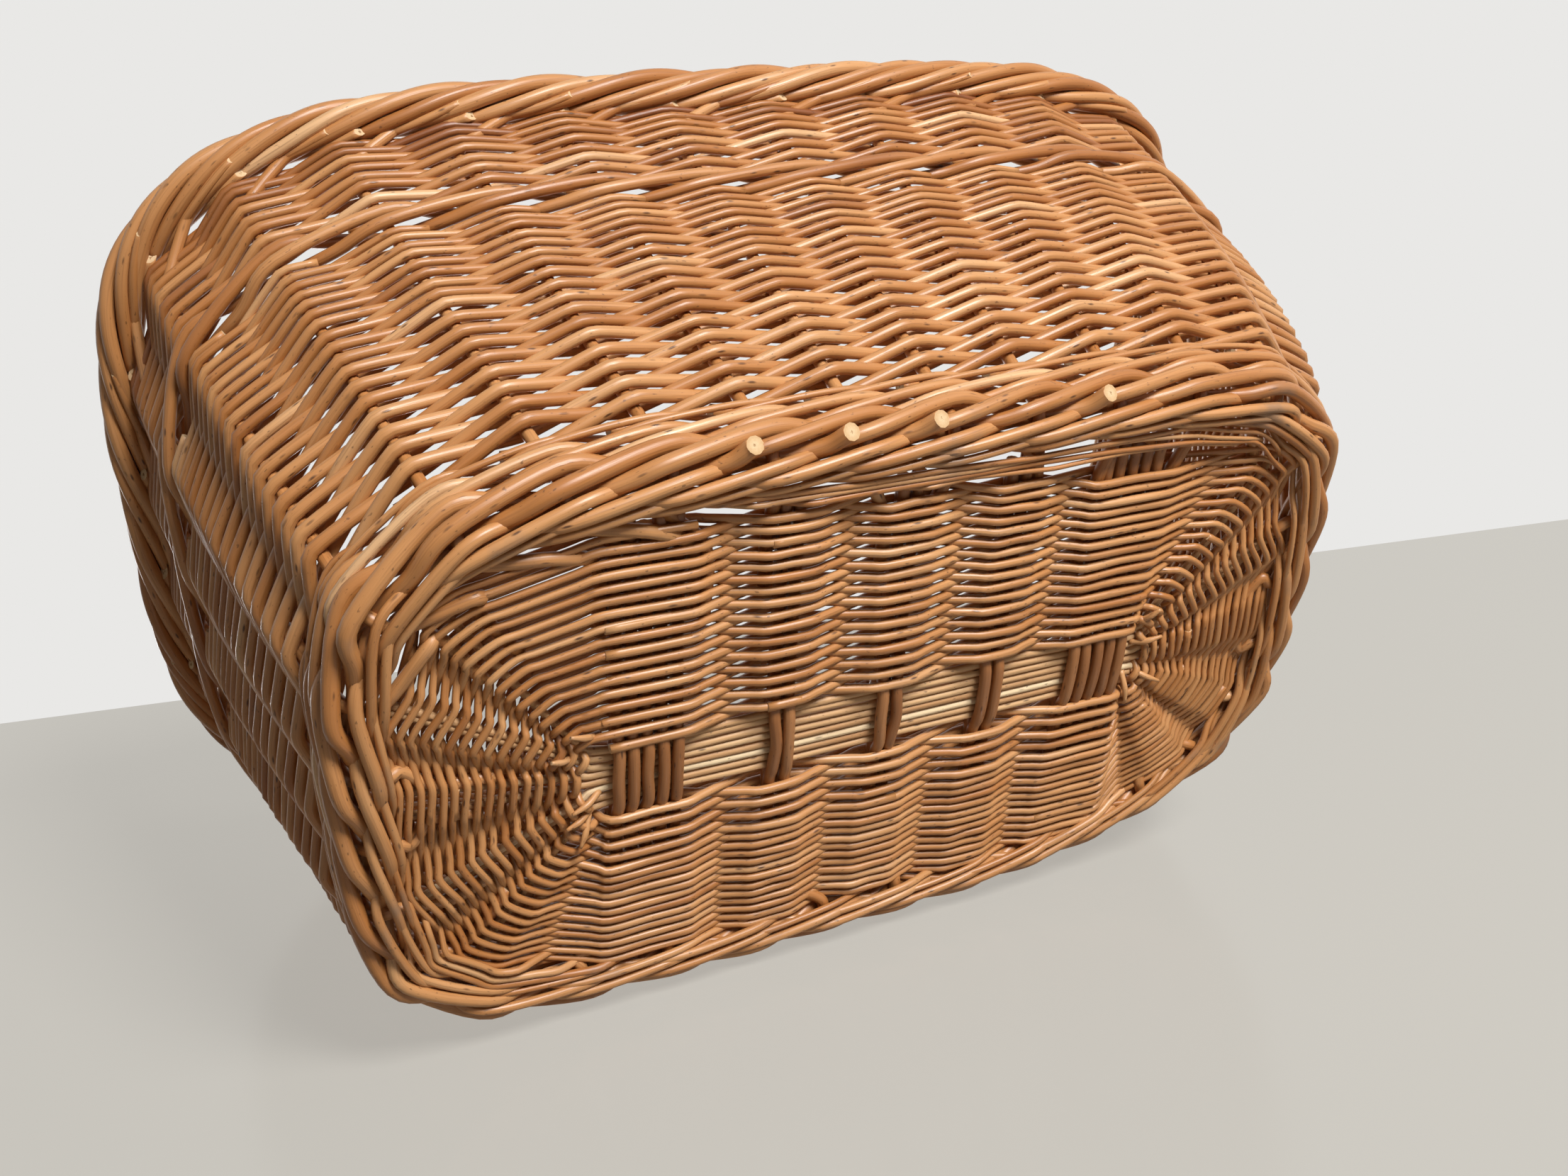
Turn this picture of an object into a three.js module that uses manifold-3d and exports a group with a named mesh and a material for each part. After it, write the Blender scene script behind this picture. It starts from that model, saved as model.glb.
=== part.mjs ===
// Oval willow laundry basket: a pierced slath base, thirty-two stakes, French-randed sides with a waling
// band, and a rolled border that the stakes themselves make. Millimetres, +Z up, origin under the base centre.
import * as THREE from 'three';
import Module from 'manifold-3d';

const wasm = await Module();
wasm.setup();

// Plan and height
const RIM_LENGTH = 558;         // border centre line, end to end
const RIM_WIDTH = 386;
const FOOT_LENGTH = 414;        // base edge, along the middle of its wale
const FOOT_WIDTH = 234;
const HEIGHT = 250;
const SQUARENESS = 4.4;         // exponent of the plan outline: 2 is an ellipse, higher is squarer
const WALL_OFFSET = 11;         // the upright stakes stand this far outside the base edge

// Rods, all given by diameter
const STAKE = 5.6;
const BASE_EDGE_ROD = 5.2;
const UPSETT_ROD = 6.2;
const BAND_ROD = 5.4;
const WEAVER_BUTT = 6.2;
const WEAVER_TIP = 4.2;
const TOP_WEAVER = 4.6;
const CROSS_STICK = 6.2;
const LONG_STICK = 5.2;
const BASE_WEAVER = 4;
const BORDER = 24;

// Counts
const STAKE_COUNT = 32;         // not a multiple of three, so that one rod can work a three-rod wale
const LONG_STICKS = 6;
const END_GROUP = 5;            // cross sticks laid side by side at each end of the slath
const MIDDLE_GROUP = 2;
const MIDDLE_GROUPS = 3;
const BORDER_STRANDS = 4;
const BORDER_STATIONS = 48;
const STAKES_PER_TWIST = 8;     // a border strand goes once round the rope in this many stakes

// Levels, clearances and small sizes
const GAP = 0.3;                // between rods that touch
const ROW_GAP = 2.2;            // light between one side weaver and the next where they cross
const BASE_ROW_GAP = 1;
const WALE_SLACK = 2;           // a wale's front strokes stand this much further off, for the rods that cross behind
const FLOOR_FLAT = 0.6;         // pared off the base-edge wale where it stands on the floor
const BASE_RECESS = 2;          // the base is set up this far from the level of the stakes' feet
const BAND_DROP = 76;           // from the top of the border down to the middle of the waling band
const FOOT_TAIL = 5;            // a stake's foot reaches this far inside the base-edge wale
const KNEE = 3;                 // size of the bend where a stake turns up
const WEAVER_TAIL = 9;          // a side weaver's ends reach this far past their last stake
const SLATH_SHIFT = 8;          // the slath lies this far off the middle of the base
const END_REACH = 101;          // from the middle of an end group of cross sticks to the end of the base edge
const SPLIT_WALL = 1.8;         // wood left each side of the split that the long sticks pass through
const SPLIT_TAPER = 8;          // length over which a split stick swells
const FAN_OPEN = 36;            // the long sticks fan out this far before the base is woven
const FAN_STAGGER = 4;          // each long stick bends this much nearer the slath than the one inside it
const BORDER_GROOVE = 2.6;      // depth of the grooves between the border's strands
const BORDER_OVERHANG = 4;      // the border's middle lies this far outside the stakes' tops
const CUT_DEPTH = 30;           // how far cutting blocks reach past what they cut

const WILLOW = { buff: 0xbf8b58, pale: 0xd3aa7c, dark: 0x9b6a3d };

// Squared-off rod: a square section with the same area as the round one
const half = (diameter) => diameter * Math.sqrt(Math.PI) / 4;
const stakeHalf = half(STAKE);
const up = new THREE.Vector3(0, 0, 1);
const down = new THREE.Vector3(0, 0, -1);
const along = (p, direction, distance) => p.clone().addScaledVector(direction, distance);
const mix = (a, b, t) => a.clone().lerp(b, t);

// How far a wale's front strokes rise and fall from its middle, so that each clears the rod diving behind it
function waleSpread(pass, rodHalf) {
  const clear = 2 * rodHalf + 2 * GAP;
  const swing = 2 * pass + WALE_SLACK;
  return clear * swing / (2 * swing - 3 * clear);
}

// Plan outline of the basket, with its points found by the share of the way round
class Outline {
  constructor(halfLength, halfWidth) {
    this.halfLength = halfLength;
    this.halfWidth = halfWidth;
    const steps = 2000;
    this.angles = Array.from({ length: steps + 1 }, (_, i) => (i / steps) * 2 * Math.PI);
    this.lengths = [0];
    for (let i = 1; i <= steps; i++) {
      const chord = this.point(this.angles[i]).distanceTo(this.point(this.angles[i - 1]));
      this.lengths.push(this.lengths[i - 1] + chord);
    }
    this.total = this.lengths[steps];
  }

  point(angle) {
    const bend = (v) => Math.sign(v) * Math.abs(v) ** (2 / SQUARENESS);
    return new THREE.Vector3(this.halfLength * bend(Math.cos(angle)), this.halfWidth * bend(Math.sin(angle)), 0);
  }

  normal(angle) {
    const p = this.point(angle);
    const slope = (v, h) => Math.sign(v) * Math.abs(v / h) ** (SQUARENESS - 1) / h;
    return new THREE.Vector3(slope(p.x, this.halfLength), slope(p.y, this.halfWidth), 0).normalize();
  }

  angleAt(share) {
    const target = (share - Math.floor(share)) * this.total;
    const i = Math.max(1, this.lengths.findIndex((l) => l >= target));
    const t = (target - this.lengths[i - 1]) / (this.lengths[i] - this.lengths[i - 1]);
    return THREE.MathUtils.lerp(this.angles[i - 1], this.angles[i], t);
  }

  // Share of the way round from the end of the outline to where it is x from the middle
  shareTo(x) {
    const angle = Math.acos((x / this.halfLength) ** (SQUARENESS / 2));
    const i = this.angles.findIndex((a) => a >= angle);
    return this.lengths[i] / this.total;
  }

  widthAt(x) {
    return this.halfWidth * (1 - Math.abs(x / this.halfLength) ** SQUARENESS) ** (1 / SQUARENESS);
  }
}

// Closed mesh from vertices and triangles, with its faces turned outwards
function closedGeometry(vertices, triangles) {
  let volume = 0;
  for (let i = 0; i < triangles.length; i += 3) {
    const [a, b, c] = [0, 1, 2].map((k) => vertices[triangles[i + k]]);
    volume += a.dot(b.clone().cross(c));
  }
  const facing = volume > 0 ? triangles : triangles.slice().reverse();
  const geometry = new THREE.BufferGeometry().setFromPoints(vertices);
  geometry.setIndex(facing);
  geometry.computeVertexNormals();
  return geometry;
}

// Skin over a row of sections that all have the same number of points
function loft(sections, closed) {
  const sides = sections[0].length;
  const vertices = sections.flat();
  const triangles = [];
  const spans = closed ? sections.length : sections.length - 1;
  for (let s = 0; s < spans; s++) {
    const next = (s + 1) % sections.length;
    for (let k = 0; k < sides; k++) {
      const [a, b] = [s * sides + k, s * sides + (k + 1) % sides];
      const [c, d] = [next * sides + k, next * sides + (k + 1) % sides];
      triangles.push(a, b, c, b, d, c);
    }
  }
  if (!closed) {
    const last = (sections.length - 1) * sides;
    for (let k = 1; k < sides - 1; k++) {
      triangles.push(0, k + 1, k, last, last + k, last + k + 1);
    }
  }
  return closedGeometry(vertices, triangles);
}

// Rod along a path. facings gives the direction that one side of the section faces at each point,
// halves its half width there, and heights, where the section isn't square, its half height.
function rod(path, facings, halves, closed = false, heights = halves) {
  const count = path.length;
  const sections = path.map((p, i) => {
    const before = path[closed ? (i + count - 1) % count : Math.max(0, i - 1)];
    const after = path[closed ? (i + 1) % count : Math.min(count - 1, i + 1)];
    const way = p.clone().sub(before).normalize().add(after.clone().sub(p).normalize()).normalize();
    const front = facings[i].clone().addScaledVector(way, -facings[i].dot(way)).normalize();
    const side = way.clone().cross(front);
    const corner = (f, s) => along(along(p, front, f * heights[i]), side, s * halves[i]);
    return [corner(1, 1), corner(-1, 1), corner(-1, -1), corner(1, -1)];
  });
  return loft(sections, closed);
}

function toSolid(geometry) {
  const vertProperties = new Float32Array(geometry.attributes.position.array);
  const triVerts = new Uint32Array(geometry.index.array);
  return new wasm.Manifold(new wasm.Mesh({ numProp: 3, vertProperties, triVerts }));
}

function fromSolid(solid) {
  const mesh = solid.getMesh();
  const geometry = new THREE.BufferGeometry();
  geometry.setAttribute('position', new THREE.BufferAttribute(new Float32Array(mesh.vertProperties), 3));
  geometry.setIndex(new THREE.BufferAttribute(new Uint32Array(mesh.triVerts), 1));
  geometry.computeVertexNormals();
  return geometry;
}

function block(sizeX, sizeY, sizeZ, centre) {
  const { x, y, z } = centre;
  const corners = [0, 1, 2, 3, 4, 5, 6, 7].map((k) => new THREE.Vector3(
    x + ((k & 1) - 0.5) * sizeX, y + (((k >> 1) & 1) - 0.5) * sizeY, z + ((k >> 2) - 0.5) * sizeZ));
  const faces = [0, 2, 1, 1, 2, 3, 4, 5, 6, 5, 7, 6, 0, 1, 4, 1, 5, 4, 2, 6, 3, 3, 6, 7, 0, 4, 2, 2, 4, 6, 1, 3, 5, 3, 7, 5];
  return toSolid(closedGeometry(corners, faces));
}

const basket = new THREE.Group();

function add(name, geometry, colour) {
  const material = new THREE.MeshStandardMaterial({ color: colour, roughness: 0.55, metalness: 0 });
  const mesh = new THREE.Mesh(geometry, material);
  mesh.name = name;
  basket.add(mesh);
}

// Stakes: where each one stands, worked out once for everything that is woven round them
const footOutline = new Outline(FOOT_LENGTH / 2, FOOT_WIDTH / 2);
const rimOutline = new Outline(RIM_LENGTH / 2, RIM_WIDTH / 2);
const middleOutline = new Outline((FOOT_LENGTH + RIM_LENGTH) / 4, (FOOT_WIDTH + RIM_WIDTH) / 4);
const edgeHalf = half(BASE_EDGE_ROD);
const footSpacing = footOutline.total / STAKE_COUNT;
const edgePass = edgeHalf + GAP + stakeHalf * (1 + 4 * (stakeHalf + edgeHalf) / footSpacing);
const edgeSpread = waleSpread(edgePass, edgeHalf);
const feetLevel = edgePass + WALE_SLACK + edgeHalf - FLOOR_FLAT;
const borderLevel = HEIGHT - BORDER / 2;
const stakes = Array.from({ length: STAKE_COUNT }, (_, i) => {
  const angle = middleOutline.angleAt((i + 0.5) / STAKE_COUNT);
  const normal = middleOutline.normal(angle);
  const foot = footOutline.point(angle).setZ(feetLevel);
  const knee = along(foot, normal, WALL_OFFSET).setZ(feetLevel + KNEE);
  const top = along(rimOutline.point(angle), normal, -BORDER_OVERHANG).setZ(borderLevel);
  const rise = top.clone().sub(knee).normalize();
  const front = along(normal, rise, -normal.dot(rise)).normalize();
  return { normal, foot, knee, top, rise, front };
});
const stakeAt = (i) => stakes[((i % STAKE_COUNT) + STAKE_COUNT) % STAKE_COUNT];
const sideways = (stake) => up.clone().cross(stake.normal);
const wallPoint = (stake, z) => mix(stake.knee, stake.top, (z - stake.knee.z) / (stake.top.z - stake.knee.z));
const spacing = middleOutline.total / STAKE_COUNT;

// How far off a stake's middle a rod passes it: enough to clear its edges where the rod slants away, both
// from its own weaving and from the wall's turning a corner
function passing(i, rodHalf) {
  const stake = stakeAt(i);
  const turns = [-1, 1].flatMap((step) => ['knee', 'top'].map((end) => {
    const way = stakeAt(i + step)[end].clone().sub(stake[end]).setZ(0).normalize();
    return Math.max(0, -way.dot(stake.normal));
  }));
  const wave = 3.4 * (stakeHalf + rodHalf) / stake.knee.distanceTo(stakeAt(i + 1).knee);
  return rodHalf + GAP + stakeHalf * (1 + Math.tan(Math.asin(Math.max(...turns)) + Math.atan(wave)));
}

// Three-rod wale worked by one rod in three rounds: in front of two stakes and behind the third.
// place gives the middle of the wale at a stake, and its front and lift directions.
function wale(place, rodHalf, spread, passes) {
  const path = [];
  const facings = [];
  for (let m = 0; m < 3 * STAKE_COUNT; m++) {
    const stroke = m % 3;
    const { middle, front, lift } = place(stakeAt(m));
    const out = stroke < 2 ? passes(m) + WALE_SLACK : -passes(m);
    const rise = spread * [-1, 1, 0][stroke];
    path.push(along(along(middle, front, out), lift, rise));
    facings.push(front);
  }
  return rod(path, facings, path.map(() => rodHalf), true);
}

// Base-edge wale: lies flat round the stakes' feet, pared where it stands on the floor
const flat = (stake) => ({ middle: stake.foot, front: down, lift: stake.normal });
const edgeWale = wale(flat, edgeHalf, edgeSpread, () => edgePass);
const edgeCorners = edgeWale.attributes.position;
for (let i = 0; i < edgeCorners.count; i++) {
  edgeCorners.setZ(i, Math.max(0, edgeCorners.getZ(i)));
}
add('base_edge_wale', edgeWale, WILLOW.buff);

// Upsett wale: thick rods round the bottom of the upright stakes, sitting on their feet
const upsettHalf = half(UPSETT_ROD);
const straightPass = (rodHalf) => Math.min(...stakes.map((_, i) => passing(i, rodHalf)));
const upsettSpread = waleSpread(straightPass(upsettHalf), upsettHalf);
const upsettLevel = feetLevel + edgePass + edgeHalf + GAP + upsettHalf;
const upright = (level) => (stake) => ({ middle: wallPoint(stake, level), front: stake.front, lift: stake.rise });
add('upsett_wale', wale(upright(upsettLevel), upsettHalf, upsettSpread, (m) => passing(m, upsettHalf)), WILLOW.buff);

// Waling band near the top of the side
const bandHalf = half(BAND_ROD);
const bandLevel = HEIGHT - BAND_DROP;
const bandSpread = waleSpread(straightPass(bandHalf), bandHalf);
add('waling_band', wale(upright(bandLevel), bandHalf, bandSpread, (m) => passing(m, bandHalf)), WILLOW.buff);

// French rand: one tapering rod starts behind each stake, and goes in front of one and behind the next,
// all of them rising together
const buttHalf = half(WEAVER_BUTT);
const tipHalf = half(WEAVER_TIP);
const randBottom = upsettLevel + upsettSpread + upsettHalf + GAP + buttHalf;
const randTop = bandLevel - bandSpread - bandHalf - GAP - tipHalf;
const strokes = 2 * Math.floor((randTop - randBottom) / (2 * (buttHalf + tipHalf + ROW_GAP)));
const randLevel = (share) => randBottom + (randTop - randBottom)
  * (buttHalf * share + (tipHalf - buttHalf) * share * share / 2) / ((buttHalf + tipHalf) / 2);
for (let start = 0; start < STAKE_COUNT; start++) {
  const path = [];
  const facings = [];
  const halves = [];
  for (let m = 0; m <= strokes; m++) {
    const stake = stakeAt(start + m);
    const rodHalf = THREE.MathUtils.lerp(buttHalf, tipHalf, m / strokes);
    const out = passing(start + m, rodHalf) * (m % 2 ? 1 : -1);
    const p = along(wallPoint(stake, randLevel(m / strokes)), stake.front, out);
    const ends = m === 0 ? [-1] : m === strokes ? [1] : [];
    const points = [p, ...ends.map((e) => along(p, sideways(stake), e * WEAVER_TAIL))];
    for (const point of m === 0 ? points.reverse() : points) {
      path.push(point);
      facings.push(stake.front);
      halves.push(rodHalf);
    }
  }
  add(`side_weaver_${String(start + 1).padStart(2, '0')}`, rod(path, facings, halves), WILLOW.buff);
}

// Top rand: one long rod wound between the band and the border, front and back by turns
const topHalf = half(TOP_WEAVER);
const topBottom = bandLevel + bandSpread + bandHalf + GAP + topHalf;
const topTop = HEIGHT - BORDER - GAP - topHalf;
const topRounds = Math.floor((topTop - topBottom) / (2 * topHalf + ROW_GAP));
const topPath = [];
const topFacings = [];
for (let m = 0; m <= topRounds * STAKE_COUNT; m++) {
  const stake = stakeAt(m);
  const level = THREE.MathUtils.lerp(topBottom, topTop, m / (topRounds * STAKE_COUNT));
  const front = (m + Math.floor(m / STAKE_COUNT)) % 2 ? 1 : -1;
  topPath.push(along(wallPoint(stake, level), stake.front, front * passing(m, topHalf)));
  topFacings.push(stake.front);
}
add('top_weaver', rod(topPath, topFacings, topPath.map(() => topHalf)), WILLOW.buff);

// Rolled border with the stakes: the stakes' tops are laid down into a rope, so rope and stakes are one piece
const ropeSections = Array.from({ length: BORDER_STATIONS }, (_, s) => {
  const angle = rimOutline.angleAt(s / BORDER_STATIONS);
  const centre = rimOutline.point(angle).setZ(borderLevel);
  const normal = rimOutline.normal(angle);
  const twists = Math.round(STAKE_COUNT / STAKES_PER_TWIST) * BORDER_STRANDS;
  const twist = (s / BORDER_STATIONS) * (twists / BORDER_STRANDS) * 2 * Math.PI;
  return Array.from({ length: 2 * BORDER_STRANDS }, (_, k) => {
    const turn = twist + (k / (2 * BORDER_STRANDS)) * 2 * Math.PI;
    const radius = BORDER / 2 - (k % 2 ? BORDER_GROOVE : 0);
    return along(along(centre, normal, radius * Math.cos(turn)), up, radius * Math.sin(turn));
  });
});
let stakesAndBorder = toSolid(loft(ropeSections, true));
for (const stake of stakes) {
  const inner = along(stake.foot, stake.normal, -(edgeSpread + edgeHalf + FOOT_TAIL));
  const heel = along(stake.foot, stake.normal, WALL_OFFSET - KNEE);
  const path = [inner, heel, stake.knee, stake.top];
  const side = sideways(stake);
  const stakeRod = rod(path, path.map(() => side), path.map(() => stakeHalf));
  stakesAndBorder = stakesAndBorder.add(toSolid(stakeRod));
}
add('stakes_and_border', fromSolid(stakesAndBorder), WILLOW.buff);

// Slath: long sticks threaded through splits in the cross sticks
const baseLevel = feetLevel + BASE_RECESS;
const longHalf = half(LONG_STICK);
const crossHalf = half(CROSS_STICK);
const baseHalf = half(BASE_WEAVER);
const baseInset = edgeSpread + edgeHalf + FOOT_TAIL + GAP;
const stickOutline = new Outline(FOOT_LENGTH / 2 - baseInset, FOOT_WIDTH / 2 - baseInset);
const longPitch = 2 * longHalf + GAP;
const crossPitch = 2 * crossHalf + GAP;
const splitHalf = longPitch * LONG_STICKS / 2 + GAP;
const groupSizes = [END_GROUP, ...Array(MIDDLE_GROUPS).fill(MIDDLE_GROUP), END_GROUP];
const middleGroup = (groupSizes.length - 1) / 2;
const groupSpacing = (FOOT_LENGTH / 2 - END_REACH) / middleGroup;
const groups = groupSizes.map((size, g) => ({
  size,
  middle: (g - middleGroup) * groupSpacing,
  reach: (size * crossPitch - GAP) / 2,
}));
let crossNumber = 0;
for (const group of groups) {
  for (let k = 0; k < group.size; k++) {
    const x = group.middle + (k - (group.size - 1) / 2) * crossPitch;
    const end = Math.min(stickOutline.widthAt(x - crossHalf), stickOutline.widthAt(x + crossHalf));
    const swell = longHalf + GAP + SPLIT_WALL;
    const stops = [
      [-end, crossHalf], [SLATH_SHIFT - splitHalf - SPLIT_TAPER, crossHalf], [SLATH_SHIFT - splitHalf, swell],
      [SLATH_SHIFT + splitHalf, swell], [SLATH_SHIFT + splitHalf + SPLIT_TAPER, crossHalf], [end, crossHalf],
    ];
    const path = stops.map(([y]) => new THREE.Vector3(x, y, baseLevel));
    const stick = rod(path, path.map(() => up), path.map(() => crossHalf), false, stops.map(([, h]) => h));
    const split = block(2 * crossHalf + CUT_DEPTH, 2 * splitHalf, 2 * (longHalf + GAP),
      new THREE.Vector3(x, SLATH_SHIFT, baseLevel));
    crossNumber += 1;
    add(`cross_stick_${String(crossNumber).padStart(2, '0')}`, fromSolid(toSolid(stick).subtract(split)), WILLOW.dark);
  }
}

// Long sticks: side by side through the slath, then fanned out to the ends of the base
const slathEnd = groups[groups.length - 1].middle + groups[groups.length - 1].reach + crossPitch;
const fanSteps = LONG_STICKS / 2;
const fanShare = stickOutline.shareTo(slathEnd) / fanSteps;
const longSticks = Array.from({ length: LONG_STICKS }, (_, k) => {
  const offCentre = k - (LONG_STICKS - 1) / 2;
  const steps = Math.sign(offCentre) * (Math.abs(offCentre) - 0.5);
  const y = SLATH_SHIFT + offCentre * longPitch;
  const paired = steps === 0;
  const tip = paired ? new THREE.Vector3(stickOutline.halfLength, offCentre * longPitch, 0)
    : stickOutline.point(stickOutline.angleAt(1 + steps * fanShare));
  const bend = slathEnd + FAN_STAGGER * (fanSteps - 1 - Math.abs(steps));
  const start = new THREE.Vector3(bend, y, baseLevel);
  tip.setZ(baseLevel);
  return { start, tip: along(tip, start.clone().sub(tip).normalize(), longHalf), paired };
});
const mirrored = (p) => new THREE.Vector3(-p.x, p.y, p.z);
longSticks.forEach(({ start, tip }, k) => {
  const path = [mirrored(tip), mirrored(start), start, tip];
  add(`long_stick_${k + 1}`, rod(path, path.map(() => up), path.map(() => longHalf)), WILLOW.pale);
});

// Base weave: one rod wound outwards from the slath, over and under each group of sticks by turns
const slathSide = splitHalf + SPLIT_TAPER + baseHalf + GAP;
const ribs = [];
const addRib = (inner, outer, reach, across) => ribs.push({ inner, outer, reach, across });
const crossRib = (group, side) => {
  const outer = new THREE.Vector3(group.middle, side * (stickOutline.widthAt(group.middle) - baseHalf), baseLevel);
  const inner = new THREE.Vector3(group.middle, SLATH_SHIFT + side * slathSide, baseLevel);
  addRib(inner, outer, group.reach, new THREE.Vector3(-side, 0, 0));
};
const fanRib = (sticks, mirror) => {
  const place = mirror ? mirrored : (p) => p.clone();
  const start = mix(place(sticks[0].start), place(sticks[sticks.length - 1].start), 0.5);
  const tip = mix(place(sticks[0].tip), place(sticks[sticks.length - 1].tip), 0.5);
  const way = tip.clone().sub(start).normalize();
  const reach = sticks.length * longPitch / 2;
  addRib(along(start, way, FAN_OPEN), along(tip, way, -baseHalf), reach, up.clone().cross(way));
};
const fans = longSticks.filter((s) => !s.paired).map((s) => [s]);
fans.splice(fanSteps - 1, 0, longSticks.filter((s) => s.paired));
groups.forEach((group) => crossRib(group, -1));
fans.forEach((sticks) => fanRib(sticks, false));
groups.slice().reverse().forEach((group) => crossRib(group, 1));
fans.slice().reverse().forEach((sticks) => fanRib(sticks, true));
const shortestRib = Math.min(...ribs.map((rib) => rib.inner.distanceTo(rib.outer)));
const baseRounds = Math.floor(shortestRib / (2 * baseHalf + BASE_ROW_GAP));
const baseLift = Math.max(crossHalf, longHalf) + GAP + baseHalf;
const basePath = [];
for (let m = 0; m <= baseRounds * ribs.length; m++) {
  const rib = ribs[m % ribs.length];
  const middle = mix(rib.inner, rib.outer, m / (baseRounds * ribs.length));
  const face = (m + Math.floor(m / ribs.length)) % 2 ? 1 : -1;
  for (const side of [-1, 1]) {
    const edge = along(middle, rib.across, side * (rib.reach + GAP));
    basePath.push(edge.setZ(baseLevel + face * baseLift));
  }
}
add('base_weaver', rod(basePath, basePath.map(() => up), basePath.map(() => baseHalf)), WILLOW.buff);

export default basket;
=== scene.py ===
"""Oval laundry basket of buff willow: woven base, French-randed sides, three-rod wales and a rolled border.

Every rod is its own tapering tube on the path that a basketmaker gives it. Lengths are in millimetres in the
basket's own frame: X along the basket, Y across, Z from the base to the mouth.
"""

import bmesh
import bpy
import numpy as np
from mathutils import Matrix, Vector


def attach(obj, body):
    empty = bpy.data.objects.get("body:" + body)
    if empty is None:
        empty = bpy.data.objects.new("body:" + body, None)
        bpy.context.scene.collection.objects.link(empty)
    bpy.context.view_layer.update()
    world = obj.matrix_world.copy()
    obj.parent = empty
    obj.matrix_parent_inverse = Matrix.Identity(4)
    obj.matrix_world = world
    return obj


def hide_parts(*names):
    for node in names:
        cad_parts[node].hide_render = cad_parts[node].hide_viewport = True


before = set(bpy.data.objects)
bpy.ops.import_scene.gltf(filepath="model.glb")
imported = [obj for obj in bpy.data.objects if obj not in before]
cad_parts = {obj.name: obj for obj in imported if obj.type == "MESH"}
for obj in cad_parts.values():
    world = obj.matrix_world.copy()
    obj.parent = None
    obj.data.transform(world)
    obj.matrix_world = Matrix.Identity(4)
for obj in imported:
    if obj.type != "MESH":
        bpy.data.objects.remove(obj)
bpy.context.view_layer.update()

# The viewpoint. The basket lies on its long side (+Y) and is seen from below its base, a little from the
# left, so in the basket's own frame the camera stands under the base and on the -Y side.
MM = 0.001
CAMERA_PLACE = Vector((-243.6, -359.2, -394.7))
CAMERA_RIGHT = (0.91621, -0.05443, -0.39698)
CAMERA_UP = (0.17544, -0.83622, 0.51957)
CAMERA_BACK = (-0.36025, -0.54569, -0.75660)
SENSOR_WIDTH, FOCAL_LENGTH = 36, 31.67

lens = bpy.data.cameras.new("viewpoint")
lens.sensor_width = SENSOR_WIDTH
lens.lens = FOCAL_LENGTH
camera = bpy.data.objects.new("viewpoint", lens)
camera.matrix_world = (Matrix.Translation(CAMERA_PLACE * MM)
                       @ Matrix((CAMERA_RIGHT, CAMERA_UP, CAMERA_BACK)).transposed().to_4x4())
bpy.context.collection.objects.link(camera)
bpy.context.scene.camera = camera

# Cross sticks of the base: sixteen stout rods in groups of five, two, two, two and five. Each is split in the
# middle with a bodkin and the long sticks are pushed through, so it parts into two halves and closes again.
BASE_LEVEL = 11.5
CROSS_GROUPS = ((-107, 5), (-49, 2), (1, 2), (51, 2), (107, 5))
CROSS_PITCH = 6.2
CROSS_ROD = 2.6
CROSS_NEAR, CROSS_END = 108, 114
CROSS_STATIONS = (-60, -24, -13, 0, 13, 24, 60)
SLATH_MIDDLE = 8
SLATH_PULL = np.array([0, 0.5, 1, 1, 1, 1, 1, 0.5, 0])
PARTING = np.array([0.7, 0.7, 1.2, 3.9, 4.7, 3.9, 1.2, 0.7, 0.7])
SLANT_CUT = 1.5
# Offsets along the rods' pattern, so that no two rods show the same stretch of it
PATTERN_BY_NUMBER, PATTERN_BY_TINT = 977.0, 5000


def paint(code):
    """An sRGB hex colour as linear RGBA."""
    srgb = np.array([int(code[i:i + 2], 16) for i in (1, 3, 5)]) / 255
    linear = np.where(srgb <= 0.04045, srgb / 12.92, ((srgb + 0.055) / 1.055) ** 2.4)
    return (*linear.tolist(), 1.0)


def node(tree, kind, inputs=None, **settings):
    """Adds a node with its settings; an input is a value or the socket that feeds it."""
    made = tree.nodes.new(kind)
    for number, (place, code) in enumerate(settings.pop("stops", ())):
        marks = made.color_ramp.elements
        mark = marks[number] if number < 2 else marks.new(place)
        mark.position, mark.color = place, paint(code)
    for key, value in settings.items():
        setattr(made, key, value)
    for key, value in (inputs or {}).items():
        if isinstance(value, bpy.types.NodeSocket):
            tree.links.new(value, made.inputs[key])
        else:
            made.inputs[key].default_value = value
    return made


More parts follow.
